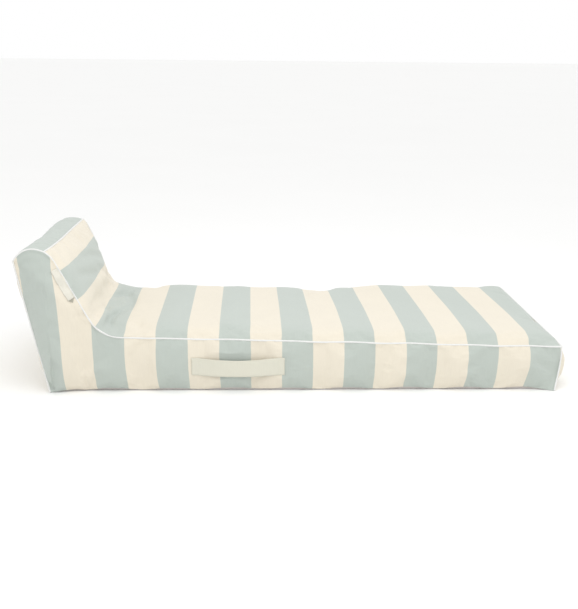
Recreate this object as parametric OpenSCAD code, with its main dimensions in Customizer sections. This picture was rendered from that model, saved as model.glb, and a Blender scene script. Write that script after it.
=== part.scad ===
// Pool lounger with a raised headrest: a sewn, striped canvas cover with piped
// seams over two welded air bladders, each with a recessed screw valve.
// +X runs from the head to the foot, +Z is up, and the origin is on the ground
// under the middle of the lounger.

/* [Cover] */
// Width of the cover from side seam to side seam
cover_w = 760; // [600:5:900]
// Length of the base from the back seam to the foot seam
base_l = 1848; // [1500:2:2100]
// Height of the seam at the back of the headrest
back_h = 478; // [400:2:560]
// How far the back leans out over its own foot
back_lean = 106; // [40:2:150]
// Depth of the flat top of the headrest
head_top_d = 124; // [90:2:180]
// Rise of the headrest's front seam above its back seam
head_top_rise = 24; // [0:1:50]
// Height of the bed seam where it leaves the headrest
bed_h = 202; // [170:1:230]
// Height of the bed seam at the foot
foot_h = 163; // [140:1:200]
// How far the top of the foot end stands out past its base
foot_lean = 17; // [0:1:40]
// Steepness of the headrest's front, in degrees
head_slope = 61.5; // [50:0.5:70]
// Radius of the bend between headrest and bed
bend_r = 130; // [80:5:180]
// Thickness of the backed canvas
canvas_t = 2; // [1.5:0.1:3]
// Gap between neighbouring sewn pieces
sew_gap = 0.3; // [0.2:0.05:0.5]

/* [Crowns] */
// Rise of the bed and headrest front above their side seams
top_crown = 26; // [10:1:40]
// Rise of the headrest's top above its seams
head_crown = 30; // [20:1:40]
// Swell of each side panel past its seams
side_crown = 16; // [5:1:30]
// Swell of the foot panel past its seams
foot_crown = 16; // [5:1:30]
// Bow of the foot's side seams
foot_bow = 9; // [0:1:15]
// Dome of the headrest's side seams between its back and front corners
head_top_bow = 18; // [5:1:25]

/* [Piping] */
// Radius of the piping cord
piping_r = 3.2; // [2.5:0.1:4]

/* [Zip] */
// Length of the zip's coils
zip_l = 640; // [400:10:680]
// Height of the zip's centre line, measured up the back
zip_h = 212; // [205:1:240]
// Width of each zip tape
tape_w = 13; // [10:0.5:18]
// Radius of each zip coil
coil_r = 1.5; // [1.2:0.1:2]
// Length of the slider
slider_l = 22; // [16:1:30]
// Length of the pull tab
pull_l = 34; // [24:1:45]
// Radius of the pull's pivot pin
pull_pin_r = 1.1; // [0.8:0.1:1.4]

/* [Handles] */
// Distance from the middle of the lounger back to the middle of a handle
handle_x = 206; // [100:2:300]
// Free length of the strap between its sewn ends
strap_l = 292; // [200:2:360]
// Height of the strap
strap_h = 66; // [50:1:80]
// Height of the strap's lower edge above the ground
strap_z = 62; // [50:1:70]
// Thickness of the folded strap
strap_t = 2.6; // [2:0.1:4]
// Length of each sewn end
strap_end = 23; // [16:1:40]
// How far the slack strap stands off the side at its middle
strap_bow = 12; // [8:1:20]

/* [Label] */
// Length of the label along the seam
label_l = 125; // [80:1:150]
// Width of the label
label_w = 27; // [18:1:35]
// Thickness of the folded label
label_t = 1.2; // [0.8:0.1:2]
// Distance of the label's upper end from the headrest's front seam
label_down = 44; // [20:1:80]
// How far the label tilts out over the swelling side, in degrees
label_tilt = 19; // [10:1:40]

/* [Bladders] */
// Clearance between the canvas and the bladders
liner_gap = 1.5; // [1:0.1:3]
// Clearance between the back panel and the bladders' back walls
back_gap = 6; // [5:0.5:10]
// Thickness of the welded film
film_t = 1.2; // [0.8:0.1:2]
// Extra clearance of the headrest bladder inside its cover
head_slack = 2; // [1.5:0.1:4]
// Spacing of the bed bladder's cross baffles
baffle_pitch = 217; // [180:1:240]
// Heights of the headrest bladder's baffles, measured up the back
head_baffle_h = [285, 385];

/* [Valves] */
// Height of the bed bladder's valve, measured up the back
bed_valve_h = 98; // [60:1:130]
// Height of the headrest bladder's valve, measured up the back
head_valve_h = 335; // [325:1:345]
// Inside radius of the recess that holds a valve
recess_r = 26; // [24:0.5:32]
// Depth of the recess
recess_d = 26; // [24:0.5:32]
// Outside radius of the threaded neck
neck_r = 16; // [12:0.5:18]
// Height of the neck above the recess's floor
neck_l = 12; // [10:0.5:14]
// Wall of every moulded valve piece
valve_wall = 2; // [1.5:0.1:3]
// Clearance between valve pieces that turn or slide on each other
valve_gap = 0.3; // [0.2:0.05:0.6]

/* [Hidden] */
BAFFLES = 7;

// Corners of the side outline, in X and Z
shift_x = (back_lean + piping_r - foot_lean / 2 - foot_bow - foot_crown) / 2;
A = [shift_x - base_l / 2, 0];
B = [A[0] - back_lean, back_h];
D = [B[0] + head_top_d, back_h + head_top_rise];
G = [A[0] + base_l, 0];
F = [G[0] + foot_lean, foot_h];

function unit(v) = v / norm(v);
function mix(a, b, t) = a + (b - a) * t;
// Outward normal of a path that runs clockwise round the outline
function turn_out(v) = [-v[1], v[0]];
function normal_at(path, i) =
  turn_out(unit(path[min(i + 1, len(path) - 1)] - path[max(i - 1, 0)]));
function inset_path(path, d) = [for (i = [0:len(path) - 1]) path[i] - d * normal_at(path, i)];
function trim(path, a, b) = [for (i = [0:len(path) - 1])
  i == 0 ? path[0] + a * unit(path[1] - path[0])
  : i == len(path) - 1 ? path[i] - b * unit(path[i] - path[i - 1])
  : path[i]];
function reach(path, i) = i == 0 ? 0 : norm(path[i] - path[i - 1]) + reach(path, i - 1);

// The back runs straight from A to B
back_dir = unit(B - A);
back_angle = atan2(-back_dir[0], back_dir[1]);
back_l = norm(B - A);

// The bed falls gently to the foot; the headrest's front meets it in the bend
bend_corner_x = D[0] + (D[1] - bed_h) / tan(head_slope);
bend_corner = [bend_corner_x, bed_h];
slope_dir = unit(bend_corner - D);
bed_dir = unit(F - bend_corner);
bed_fall = atan2(-bed_dir[1], bed_dir[0]);
bend_turn = head_slope - bed_fall;
bend_tangent = bend_r * tan(bend_turn / 2);
bend_start = bend_corner - bend_tangent * slope_dir;
bend_end = bend_corner + bend_tangent * bed_dir;
bend_centre = bend_start + bend_r * turn_out(slope_dir);

SLOPE_STEPS = 4;
BEND_STEPS = 6;
BED_STEPS = 14;
END_STEPS = 5;
slope_path = [for (i = [0:SLOPE_STEPS - 1]) mix(D, bend_start, i / SLOPE_STEPS)];
bend_path = [for (i = [0:BEND_STEPS])
  let (a = head_slope - bend_turn * i / BEND_STEPS)
  bend_centre - bend_r * [sin(a), cos(a)]];
bed_path = [for (i = [1:BED_STEPS]) mix(bend_end, F, i / BED_STEPS)];
top_path = concat(slope_path, bend_path, bed_path);

// The headrest's top domes a little between its two seams
HEAD_TOP_STEPS = 6;
head_top_path = [for (i = [0:HEAD_TOP_STEPS])
  let (t = i / HEAD_TOP_STEPS)
  mix(B, D, t) + head_top_bow * 4 * t * (1 - t) * turn_out(unit(D - B))];

// The foot bows out between its seams
foot_path = [for (i = [0:END_STEPS])
  let (t = i / END_STEPS)
  mix(F, G, t) + foot_bow * 4 * t * (1 - t) * turn_out(unit(G - F))];

// Flat at the middle and steep at the edges, as a taut inflated panel is
function pillow(t) = 1 - pow(abs(t), 4);
ACROSS = 8;
function station(j) = sin(-90 + 180 * j / ACROSS);
fade_l = 150;
function fade(path, i) =
  let (from_start = reach(path, i), all = reach(path, len(path) - 1),
       d = min(from_start, all - from_start, fade_l, all / 2),
       l = min(fade_l, all / 2))
  1 - pow(1 - d / l, 2);

// Closed solid between an outer and an inner grid of points
module shell(outer, inner) {
  rows = len(outer);
  cols = len(outer[0]);
  count = rows * cols;
  points = concat([for (r = outer) for (p = r) p], [for (r = inner) for (p = r) p]);
  function at(i, j) = i * cols + j;
  faces = concat(
    [for (i = [0:rows - 2]) for (j = [0:cols - 2]) each
      [[at(i, j), at(i + 1, j), at(i + 1, j + 1)], [at(i, j), at(i + 1, j + 1), at(i, j + 1)],
       [count + at(i, j), count + at(i + 1, j + 1), count + at(i + 1, j)],
       [count + at(i, j), count + at(i, j + 1), count + at(i + 1, j + 1)]]],
    [for (i = [0:rows - 2]) each
      [[at(i, 0), count + at(i, 0), count + at(i + 1, 0)], [at(i, 0), count + at(i + 1, 0), at(i + 1, 0)],
       [at(i, cols - 1), count + at(i + 1, cols - 1), count + at(i, cols - 1)],
       [at(i, cols - 1), at(i + 1, cols - 1), count + at(i + 1, cols - 1)]]],
    [for (j = [0:cols - 2]) each
      [[at(0, j), count + at(0, j + 1), count + at(0, j)], [at(0, j), at(0, j + 1), count + at(0, j + 1)],
       [at(rows - 1, j), count + at(rows - 1, j), count + at(rows - 1, j + 1)],
       [at(rows - 1, j), count + at(rows - 1, j + 1), at(rows - 1, j + 1)]]]);
  polyhedron(points, faces);
}

// Panel that spans the width: the crowned path, set in by some depth
function across(path, half_w, crown, depth) =
  [for (i = [0:len(path) - 1])
    let (n = normal_at(path, i), swell = crown * fade(path, i))
    [for (j = [0:ACROSS])
      let (t = station(j), d = swell * pillow(t) - depth)
      [path[i][0] + n[0] * d, half_w * t, path[i][1] + n[1] * d]]];
module cross_panel(path, half_w, crown, depth, thickness)
  shell(across(path, half_w, crown, depth), across(path, half_w, crown, depth + thickness));

// Side panel between two rails of X and Z points, swelling out along Y
UP = 6;
function rise(k) = (1 - cos(180 * k / UP)) / 2;
function upright(low, high, depth) =
  [for (i = [0:len(low) - 1])
    [for (k = [0:UP])
      let (p = mix(low[i], high[i], rise(k)))
      [p[0], cover_w / 2 + side_swell(p) - depth, p[1]]]];
module side_wall(low, high, depth, thickness, side)
  mirror([0, side < 0 ? 1 : 0, 0])
    shell(upright(low, high, depth + thickness), upright(low, high, depth));

// Height of the outline's top over a point, and the swell of the side there
function back_x(z) = A[0] - back_lean * z / back_h;
function top_z(x) =
  let (i = max([for (k = [0:len(side_top) - 1]) side_top[k][0] <= x ? k : 0]),
       j = min(i + 1, len(side_top) - 1),
       run = side_top[j][0] - side_top[i][0])
  run <= 0 ? side_top[i][1] : mix(side_top[i][1], side_top[j][1], (x - side_top[i][0]) / run);
side_top = concat(head_top_path, [for (i = [1:len(top_path) - 1]) top_path[i]]);
side_fade_l = 90;
function side_swell(p) =
  let (v = min(1, max(0, p[1] / max(1, top_z(p[0])))),
       d = min(side_fade_l, max(0, p[0] - back_x(p[1])), max(0, mix(G, F, min(1, p[1] / foot_h))[0] - p[0])))
  side_crown * pillow(2 * v - 1) * (1 - pow(1 - d / side_fade_l, 2));

// Rails of the side panels, set in from the seams
function high_rail(d_back, d_top, d_foot) =
  let (path = inset_path(side_top, d_top))
  [for (i = [0:len(path) - 1])
    i == 0 ? [back_x(path[0][1]) + d_back / cos(back_angle), path[0][1]]
    : i == len(path) - 1 ? [path[i][0] - d_foot, path[i][1]]
    : path[i]];
function low_rail(high, z, d_back, d_foot) =
  [for (i = [0:len(high) - 1])
    i < HEAD_TOP_STEPS
      ? [mix(back_x(z) + d_back / cos(back_angle), D[0], i / HEAD_TOP_STEPS), z]
      : i == len(high) - 1 ? [G[0] - d_foot, z] : [high[i][0], z]];

// Round cord swept along points, eight-sided
SIDES = 8;
module cord(points, r) {
  last = len(points) - 1;
  rings = [for (i = [0:last])
    let (d = unit(points[min(i + 1, last)] - points[max(i - 1, 0)]),
         u = unit(cross([0, 1, 0], d)))
    [for (k = [0:SIDES - 1])
      let (a = 360 * (k + 0.5) / SIDES)
      points[i] + r * (cos(a) * u + sin(a) * [0, 1, 0])]];
  faces = concat(
    [[for (k = [SIDES - 1:-1:0]) k]],
    [for (i = [0:last - 1]) for (k = [0:SIDES - 1]) each
      let (m = (k + 1) % SIDES)
      [[i * SIDES + k, i * SIDES + m, (i + 1) * SIDES + m],
       [i * SIDES + k, (i + 1) * SIDES + m, (i + 1) * SIDES + k]]],
    [[for (k = [0:SIDES - 1]) last * SIDES + k]]);
  polyhedron([for (ring = rings) for (p = ring) p], faces);
}

// Cover panels
seam_in = piping_r + sew_gap;
panel_half = cover_w / 2 - seam_in;
base_top = canvas_t + sew_gap;

module top_panel() color("honeydew")
  cross_panel(trim(top_path, seam_in, seam_in), panel_half, top_crown, 0, canvas_t);
module head_top_panel() color("darkseagreen")
  cross_panel(trim(head_top_path, seam_in, seam_in), panel_half, head_crown - head_top_bow, 0, canvas_t);
module side_panel(side) color("ivory") {
  high = high_rail(seam_in, seam_in, seam_in);
  side_wall(low_rail(high, base_top, seam_in, seam_in), high, 0, canvas_t, side);
}
module foot_panel() color("ivory")
  cross_panel(trim(foot_path, seam_in, base_top), panel_half, foot_crown, 0, canvas_t);
module base_panel() color("gainsboro")
  translate([A[0], -cover_w / 2, 0]) cube([base_l, cover_w, canvas_t]);

// Everything on the back is drawn with -X pointing out of it and Z up it
module on_back(h, y = 0)
  translate([A[0] + back_dir[0] * h, y, back_dir[1] * h]) rotate([0, -back_angle, 0]) children();
module back_plate(low, high, half_w)
  on_back(low) translate([0, -half_w, 0]) cube([canvas_t, 2 * half_w, high - low]);

// Zip
zip_gap = 1.2;
coil_h = zip_gap + coil_r;
tape_start = coil_h + coil_r + 0.1;
zip_half_h = tape_start + tape_w;
zip_end_l = 14;
zip_half_l = zip_l / 2 + zip_end_l;
tape_t = 0.8;
tape_x = (canvas_t - tape_t) / 2;
coil_x = canvas_t / 2;
module back_panel_lower() color("ivory") difference() {
  back_plate(base_top, zip_h + zip_half_h, panel_half);
  on_back(zip_h) translate([-1, -zip_half_l - sew_gap, -zip_half_h])
    cube([canvas_t + 2, 2 * (zip_half_l + sew_gap), 2 * zip_half_h + 1]);
}
module back_panel_upper() color("ivory")
  back_plate(zip_h + zip_half_h + sew_gap, back_l - seam_in, panel_half);
module zip_tape(up) color("whitesmoke")
  on_back(zip_h) mirror([0, 0, up < 0 ? 1 : 0])
    translate([tape_x, -zip_half_l, tape_start]) cube([tape_t, 2 * zip_half_l, tape_w - sew_gap]);
module zip_coil(up) color("white")
  on_back(zip_h) translate([coil_x, -zip_l / 2, up * coil_h]) rotate([-90, 0, 0])
    cylinder(h = zip_l, r = coil_r, $fn = 24);
stop_l = 4;
module zip_stops() color("silver") on_back(zip_h)
  for (s = [-1, 1]) translate([coil_x - coil_r - 0.3, s * (zip_l / 2 + sew_gap + stop_l / 2) - stop_l / 2, -coil_h - coil_r])
    cube([2 * coil_r + 0.6, stop_l, 2 * (coil_h + coil_r)]);

// Slider: two wings joined by a post that runs between the coils
slider_w = 13;
wing_t = 1.4;
wing_gap = 0.35;
post_w = 2 * (zip_gap - 0.3);
slider_y = -(zip_l / 2 - slider_l / 2 - 1);
wing_out = coil_x - coil_r - wing_gap - wing_t;
wing_in = coil_x + coil_r + wing_gap;
lug_t = 1.6;
lug_h = 4.4;
lug_half = 3.2;
pull_t = 1.6;
pull_w = 2 * (lug_half - lug_t - 0.25);
pin_x = wing_out - lug_h + 1.6;
pin_y = slider_y + slider_l / 4;
module zip_slider() color("silver") on_back(zip_h) {
  difference() {
    union() {
      for (x = [wing_out, wing_in]) translate([x, slider_y - slider_l / 2, -slider_w / 2])
        cube([wing_t, slider_l, slider_w]);
      translate([wing_out, slider_y - slider_l / 4, -post_w / 2])
        cube([wing_in - wing_out + wing_t, slider_l / 2, post_w]);
      for (s = [-1, 1]) translate([pin_x - 1.8, pin_y - 2.4, s * (lug_half - lug_t / 2) - lug_t / 2])
        cube([wing_out - pin_x + 1.9, 4.8, lug_t]);
    }
    translate([pin_x, pin_y, -lug_half - 1]) cylinder(h = 2 * lug_half + 2, r = pull_pin_r + 0.05, $fn = 24);
  }
}
module zip_pull() color("silver") on_back(zip_h) {
  translate([pin_x, pin_y, -lug_half + 0.1]) cylinder(h = 2 * lug_half - 0.2, r = pull_pin_r, $fn = 24);
  translate([pin_x - pull_t / 2, pin_y, -pull_w / 2]) cube([pull_t, 6, pull_w]);
  translate([pin_x - pull_t / 2, pin_y + 5, -4]) cube([pull_t, pull_l - 5, 8]);
}

// Piping
function lift(path, y) = [for (p = path) [p[0], y, p[1]]];
piping_start = base_top + piping_r;
back_path = [for (i = [0:END_STEPS - 1]) mix(A + piping_start * back_dir, B, i / END_STEPS)];
side_loop = concat(back_path, side_top, [for (i = [1:END_STEPS - 1]) foot_path[i]],
  [G + [foot_lean * 0.08, piping_start]]);
module piping_side(side) color("white") cord(lift(side_loop, side * cover_w / 2), piping_r);
piping_half = cover_w / 2 - piping_r - sew_gap;
module piping_cross(p) color("white")
  translate([p[0], -piping_half, p[1]]) rotate([-90, 0, 0]) cylinder(h = 2 * piping_half, r = piping_r, $fn = 24);

// Handles: the free strap bows off the side between its two sewn ends
side_face = cover_w / 2 + side_crown + sew_gap;
BOW_STEPS = 12;
module handle_strap(side) color("beige") {
  bow = [for (i = [0:BOW_STEPS]) let (t = -1 + 2 * i / BOW_STEPS)
    [t * strap_l / 2, side_face + strap_bow * (1 - t * t)]];
  outline = concat(bow, [for (i = [BOW_STEPS:-1:0]) bow[i] + [0, strap_t]]);
  mirror([0, side < 0 ? 1 : 0, 0]) translate([-handle_x, 0, strap_z]) linear_extrude(strap_h) polygon(outline);
}
module handle_ends(side) color("beige")
  for (s = [-1, 1])
    translate([-handle_x + s * (strap_l / 2 + sew_gap + strap_end / 2) - strap_end / 2,
      side > 0 ? side_face : -side_face - strap_t, strap_z])
      cube([strap_end, strap_t, strap_h]);

// Label: folded tape sewn in just below the headrest's front seam, hanging over the side
label_top = D + label_down * slope_dir;
label_y = -(cover_w / 2 + piping_r + sew_gap + label_t / 2);
module label_tab() color("beige")
  translate([label_top[0], label_y, label_top[1]]) rotate([0, head_slope, 0]) rotate([-label_tilt, 0, 0]) {
    translate([0, -label_t / 2, -label_w]) cube([label_l, label_t, label_w]);
    // Folded top edge, round about the line it swings on
    rotate([0, 90, 0]) cylinder(h = label_l, d = label_t, $fn = 24);
  }

// Bladders
film_in = canvas_t + liner_gap;
film_half = cover_w / 2 - film_in - film_t - sew_gap;
back_in = canvas_t + back_gap;
floor_z = canvas_t + liner_gap;
weld_gap = 0.3;

// Point on the back plane at a height z, moved in by d, and the reverse
function back_point(z, d) = [back_x(z) + d / cos(back_angle), z];
function up_back(z, d) = (z - d * sin(back_angle)) / cos(back_angle);
module valve_hole(h)
  on_back(h) translate([back_in - 1, 0, 0]) rotate([0, 90, 0])
    cylinder(h = film_t + 2, r = recess_r + valve_gap, $fn = 48);
module back_film(low_z, high_z, half_w, hole)
  difference() {
    low = up_back(low_z, back_in);
    on_back(low) translate([back_in, -half_w, 0])
      cube([film_t, 2 * half_w, up_back(high_z, back_in + film_t) - low]);
    valve_hole(hole);
  }

// Bed bladder: its top film runs level under the headrest, then follows the bed
bed_film_line = [for (p = concat([bend_end], bed_path)) p - film_in * turn_out(bed_dir)];
under_z = bed_film_line[0][1];
foot_film_x = G[0] - film_in;
bed_top_path = concat([back_point(under_z, back_in), mix(back_point(under_z, back_in), bed_film_line[0], 0.5)],
  [for (i = [0:BED_STEPS]) bed_film_line[i] - (i == BED_STEPS ? [film_in, 0] : [0, 0])]);
bed_last = len(bed_top_path) - 1;
bed_low = [for (i = [0:bed_last])
  [i == 0 ? back_point(floor_z, back_in)[0] : i == bed_last ? foot_film_x : bed_top_path[i][0], floor_z]];
bed_film_crown = top_crown - 2;
function bed_swell(i) =
  let (x = bed_top_path[i][0], d = min(fade_l, x - bend_end[0], F[0] - x))
  d <= 0 ? 0 : bed_film_crown * (1 - pow(1 - d / fade_l, 2));
function bed_film_z(i, j) = bed_top_path[i][1] + bed_swell(i) * pillow(station(j));
function bed_film(depth) = [for (i = [0:bed_last])
  [for (j = [0:ACROSS]) [bed_top_path[i][0], film_half * station(j), bed_film_z(i, j) - depth]]];
module bed_bladder_top() color("lightsteelblue") shell(bed_film(0), bed_film(film_t));
module bed_bladder_bottom() color("lightsteelblue")
  translate([bed_low[0][0], -film_half, floor_z]) cube([foot_film_x - bed_low[0][0], 2 * film_half, film_t]);
module bed_bladder_side(side) color("lightsteelblue") side_wall(bed_low, bed_top_path, film_in, film_t, side);
FOOT_FILM_STEPS = 5;
module bed_bladder_foot() color("lightsteelblue")
  cross_panel([for (k = [0:FOOT_FILM_STEPS])
      mix(bed_top_path[bed_last] - [0, film_t + weld_gap], [foot_film_x, floor_z + film_t + weld_gap],
          k / FOOT_FILM_STEPS)],
    film_half, foot_crown - 3, 0, film_t);
module bed_bladder_back() color("lightsteelblue")
  back_film(floor_z + film_t + weld_gap, under_z - film_t - weld_gap, film_half, bed_valve_h);

// Cross baffles tie the bed's top film to its bottom film; each is cut to the film's facets
module bed_baffle(i) color("lightblue") {
  x = G[0] - i * baffle_pitch;
  k = max([for (m = [0:bed_last - 1]) bed_top_path[m][0] <= x ? m : 0]);
  f = (x - bed_top_path[k][0]) / (bed_top_path[k + 1][0] - bed_top_path[k][0]);
  drop = film_t + weld_gap;
  top = [for (j = [1:ACROSS - 1]) each concat(
    [[film_half * station(j), mix(bed_film_z(k, j), bed_film_z(k + 1, j), f) - drop]],
    j < ACROSS - 1
      ? [[film_half * mix(station(j), station(j + 1), f), mix(bed_film_z(k, j), bed_film_z(k + 1, j + 1), f) - drop]]
      : [])];
  half = film_half * station(ACROSS - 1);
  translate([x - film_t / 2, 0, 0]) rotate([90, 0, 90]) linear_extrude(film_t)
    polygon(concat(top, [[half, floor_z + drop], [-half, floor_z + drop]]));
}

// Headrest bladder: a wedge that stands on the bed bladder
head_in = film_in + head_slack;
head_half = film_half - head_slack;
head_floor = under_z + weld_gap;
toe_h = 14;
head_front_path = concat(
  [back_point(B[1] - head_in - 4, back_in)],
  [for (i = [2:HEAD_TOP_STEPS]) head_top_path[i] - head_in * [0, 1]],
  [for (p = inset_path(concat(slope_path, bend_path), head_in))
    if (p[0] > D[0] + 8 && p[1] > head_floor + toe_h) p]);
head_last = len(head_front_path) - 1;
head_low = [for (i = [0:head_last])
  [i == 0 ? back_point(head_floor, back_in)[0]
   : max(head_front_path[i][0], back_point(head_floor, back_in)[0] + 8 * i), head_floor]];
head_film_crown = 14;
head_fade_l = 90;
function head_swell(p) =
  let (d = min(head_fade_l, norm(p - D) - 2 * head_in, norm(p - head_front_path[0]),
               norm(p - head_front_path[head_last])))
  d <= 0 ? 0 : head_film_crown * (1 - pow(1 - d / head_fade_l, 2));
function head_film(depth) = [for (i = [0:head_last])
  let (n = normal_at(head_front_path, i))
  [for (j = [0:ACROSS])
    let (t = station(j), d = head_swell(head_front_path[i]) * pillow(t) - depth)
    [head_front_path[i][0] + n[0] * d, head_half * t, head_front_path[i][1] + n[1] * d]]];
module head_bladder_front() color("lightsteelblue") shell(head_film(0), head_film(film_t));
module head_bladder_back() color("lightsteelblue")
  back_film(head_floor + film_t + weld_gap, head_front_path[0][1] - film_t - weld_gap, head_half, head_valve_h);
module head_bladder_bottom() color("lightsteelblue")
  translate([head_low[0][0], -head_half, head_floor])
    cube([head_low[head_last][0] - head_low[0][0], 2 * head_half, film_t]);
module head_bladder_side(side) color("lightsteelblue")
  side_wall(head_low, head_front_path, head_in, film_t, side);
baffle_clear = 1.2;
module head_baffle(i) color("lightblue") {
  z = back_dir[1] * head_baffle_h[i - 1];
  start = back_point(z, back_in + film_t + weld_gap)[0];
  slope_x = D[0] + (D[1] - z) / tan(head_slope);
  swell = head_swell([slope_x, z] - head_in * turn_out(slope_dir));
  front = [for (j = [1:ACROSS - 1])
    [slope_x + (swell * pillow(station(j)) - head_in - film_t - baffle_clear) / sin(head_slope),
     head_half * station(j)]];
  half = head_half * station(ACROSS - 1);
  translate([0, 0, z]) linear_extrude(film_t) polygon(concat(front, [[start, half], [start, -half]]));
}

// Valves: drawn with -X pointing out of the back, X = 0 at the film's outer face
module at_valve(h) on_back(h) translate([back_in, 0, 0]) children();
module along(x, l, r, f = 48) translate([x, 0, 0]) rotate([0, 90, 0]) cylinder(h = l, r = r, $fn = f);
module tube(x, l, r_out, r_in) difference() {
  along(x, l, r_out);
  along(x - 1, l + 2, r_in);
}
flange_x = film_t + weld_gap;
flange_w = 11;
bore_r = neck_r - valve_wall;
module valve_base(h) color("white") at_valve(h) {
  tube(flange_x, valve_wall, recess_r + flange_w, recess_r);
  tube(flange_x, recess_d - flange_x + valve_wall, recess_r + valve_wall, recess_r);
  tube(recess_d, valve_wall, recess_r + 0.1, bore_r);
  tube(recess_d - neck_l, neck_l + 0.1, neck_r, bore_r);
}
// Insert: a ring with a hub on three spokes, which the flap seals from inside
insert_l = 6;
hub_r = 3;
module valve_insert(h) color("whitesmoke") at_valve(h) translate([recess_d - neck_l + 1, 0, 0]) {
  tube(0, insert_l, bore_r - 0.05, bore_r - valve_wall);
  along(0, 2, hub_r);
  for (a = [0:120:240]) rotate([a, 0, 0]) translate([0, -0.8, hub_r - 0.5])
    cube([2, 1.6, bore_r - valve_wall - hub_r + 0.7]);
}
flap_t = 1;
module valve_flap(h) color("lightgray") at_valve(h)
  along(recess_d - neck_l + 1 + insert_l + valve_gap, flap_t, bore_r - 0.8);
// Cap: a skirt over the neck, a top and a finger grip across it
cap_in = neck_r + valve_gap;
cap_r = cap_in + valve_wall;
cap_skirt = neck_l - 3;
cap_top_x = recess_d - neck_l - valve_gap - valve_wall;
grip_h = 4;
grip_t = 4;
module valve_cap(h) color("white") at_valve(h) {
  tube(cap_top_x, cap_skirt + valve_wall, cap_r, cap_in);
  along(cap_top_x, valve_wall, cap_in + 0.1);
  translate([cap_top_x - grip_h, -cap_r + 3, -grip_t / 2]) cube([grip_h + 0.2, 2 * cap_r - 6, grip_t]);
}
// Tether: a ring round the cap's skirt, a ring round the neck and the strap between
ring_w = 2.6;
ring_t = 1.5;
neck_ring_x = recess_d - ring_t - 0.3;
cap_ring_x = cap_top_x + valve_wall + 1.5;
module valve_tether(h) color("white") at_valve(h) {
  tube(cap_ring_x, ring_t, cap_r + valve_gap + ring_w, cap_r + valve_gap);
  tube(neck_ring_x, ring_t, cap_r + valve_gap + ring_w, neck_r + valve_gap);
  translate([cap_ring_x, -3, -cap_r - valve_gap - ring_w]) cube([neck_ring_x - cap_ring_x + 0.5, 6, 1.8]);
}

top_panel();
head_top_panel();
side_panel(-1);  // side_panel_right
side_panel(1);  // side_panel_left
back_panel_upper();
back_panel_lower();
foot_panel();
base_panel();
piping_side(-1);  // piping_side_right
piping_side(1);  // piping_side_left
piping_cross(D);  // piping_head_front
piping_cross(B);  // piping_head_back
piping_cross(F);  // piping_foot
zip_tape(1);  // zip_tape_upper
zip_tape(-1);  // zip_tape_lower
zip_coil(1);  // zip_coil_upper
zip_coil(-1);  // zip_coil_lower
zip_stops();
zip_slider();
zip_pull();
handle_strap(-1);  // handle_strap_right
handle_strap(1);  // handle_strap_left
handle_ends(-1);  // handle_ends_right
handle_ends(1);  // handle_ends_left
label_tab();
bed_bladder_top();
bed_bladder_bottom();
bed_bladder_side(-1);  // bed_bladder_side_right
bed_bladder_side(1);  // bed_bladder_side_left
bed_bladder_foot();
bed_bladder_back();
for (i = [1:BAFFLES]) bed_baffle(i);
head_bladder_front();
head_bladder_back();
head_bladder_bottom();
head_bladder_side(-1);  // head_bladder_side_right
head_bladder_side(1);  // head_bladder_side_left
for (i = [1:len(head_baffle_h)]) head_baffle(i);
for (v = [["bed", bed_valve_h], ["head", head_valve_h]]) {
  valve_base(v[1]);
  valve_insert(v[1]);
  valve_flap(v[1]);
  valve_tether(v[1]);
  valve_cap(v[1]);
}
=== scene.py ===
"""Looks of the canvas-covered pool lounger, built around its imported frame."""
import math

import bmesh
import bpy
import numpy as np
from mathutils import Matrix, Vector, noise
from mathutils.bvhtree import BVHTree
from mathutils.kdtree import KDTree


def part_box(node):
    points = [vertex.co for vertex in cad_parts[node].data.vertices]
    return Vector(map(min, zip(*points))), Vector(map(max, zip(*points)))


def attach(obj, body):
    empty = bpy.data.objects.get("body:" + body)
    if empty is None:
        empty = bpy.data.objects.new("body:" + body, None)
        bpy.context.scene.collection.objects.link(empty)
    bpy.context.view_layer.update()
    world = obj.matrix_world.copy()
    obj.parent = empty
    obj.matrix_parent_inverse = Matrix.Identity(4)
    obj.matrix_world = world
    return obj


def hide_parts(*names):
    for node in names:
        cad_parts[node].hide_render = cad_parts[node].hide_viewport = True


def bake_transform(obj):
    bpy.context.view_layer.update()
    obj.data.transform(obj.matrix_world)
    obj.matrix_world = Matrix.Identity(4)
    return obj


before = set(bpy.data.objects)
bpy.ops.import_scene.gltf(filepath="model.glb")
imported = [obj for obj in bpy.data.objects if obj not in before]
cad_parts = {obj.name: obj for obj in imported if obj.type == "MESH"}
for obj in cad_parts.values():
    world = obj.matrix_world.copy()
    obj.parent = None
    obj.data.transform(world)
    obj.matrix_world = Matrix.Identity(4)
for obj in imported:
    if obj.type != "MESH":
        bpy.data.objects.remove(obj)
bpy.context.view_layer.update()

MM = 0.001

# ---------------------------------------------------------------- camera and studio
CAMERA_PLACE = Vector((-0.162, -3.803, 1.202))
CAMERA_YAW = math.radians(2.33)
CAMERA_PITCH = math.radians(14.38)
CAMERA_ROLL = math.radians(0.58)
CAMERA_LENS = 58.0
CAMERA_SENSOR = 36
FLOOR_REACH = 150
KEY_PLACE, KEY_AIM = (0.3, -1.3, 3.2), (-0.1, 0, 0.2)
KEY_SIZE, KEY_WATTS = 3.0, 34


def make_camera():
    data = bpy.data.cameras.new("camera")
    data.lens = CAMERA_LENS
    data.sensor_width = CAMERA_SENSOR
    data.clip_end = 400
    camera = bpy.data.objects.new("camera", data)
    turn = (Matrix.Rotation(-CAMERA_YAW, 4, "Z") @ Matrix.Rotation(math.pi / 2 - CAMERA_PITCH, 4, "X")
            @ Matrix.Rotation(CAMERA_ROLL, 4, "Z"))
    camera.matrix_world = Matrix.Translation(CAMERA_PLACE) @ turn
    bpy.context.collection.objects.link(camera)
    bpy.context.scene.camera = camera


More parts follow.
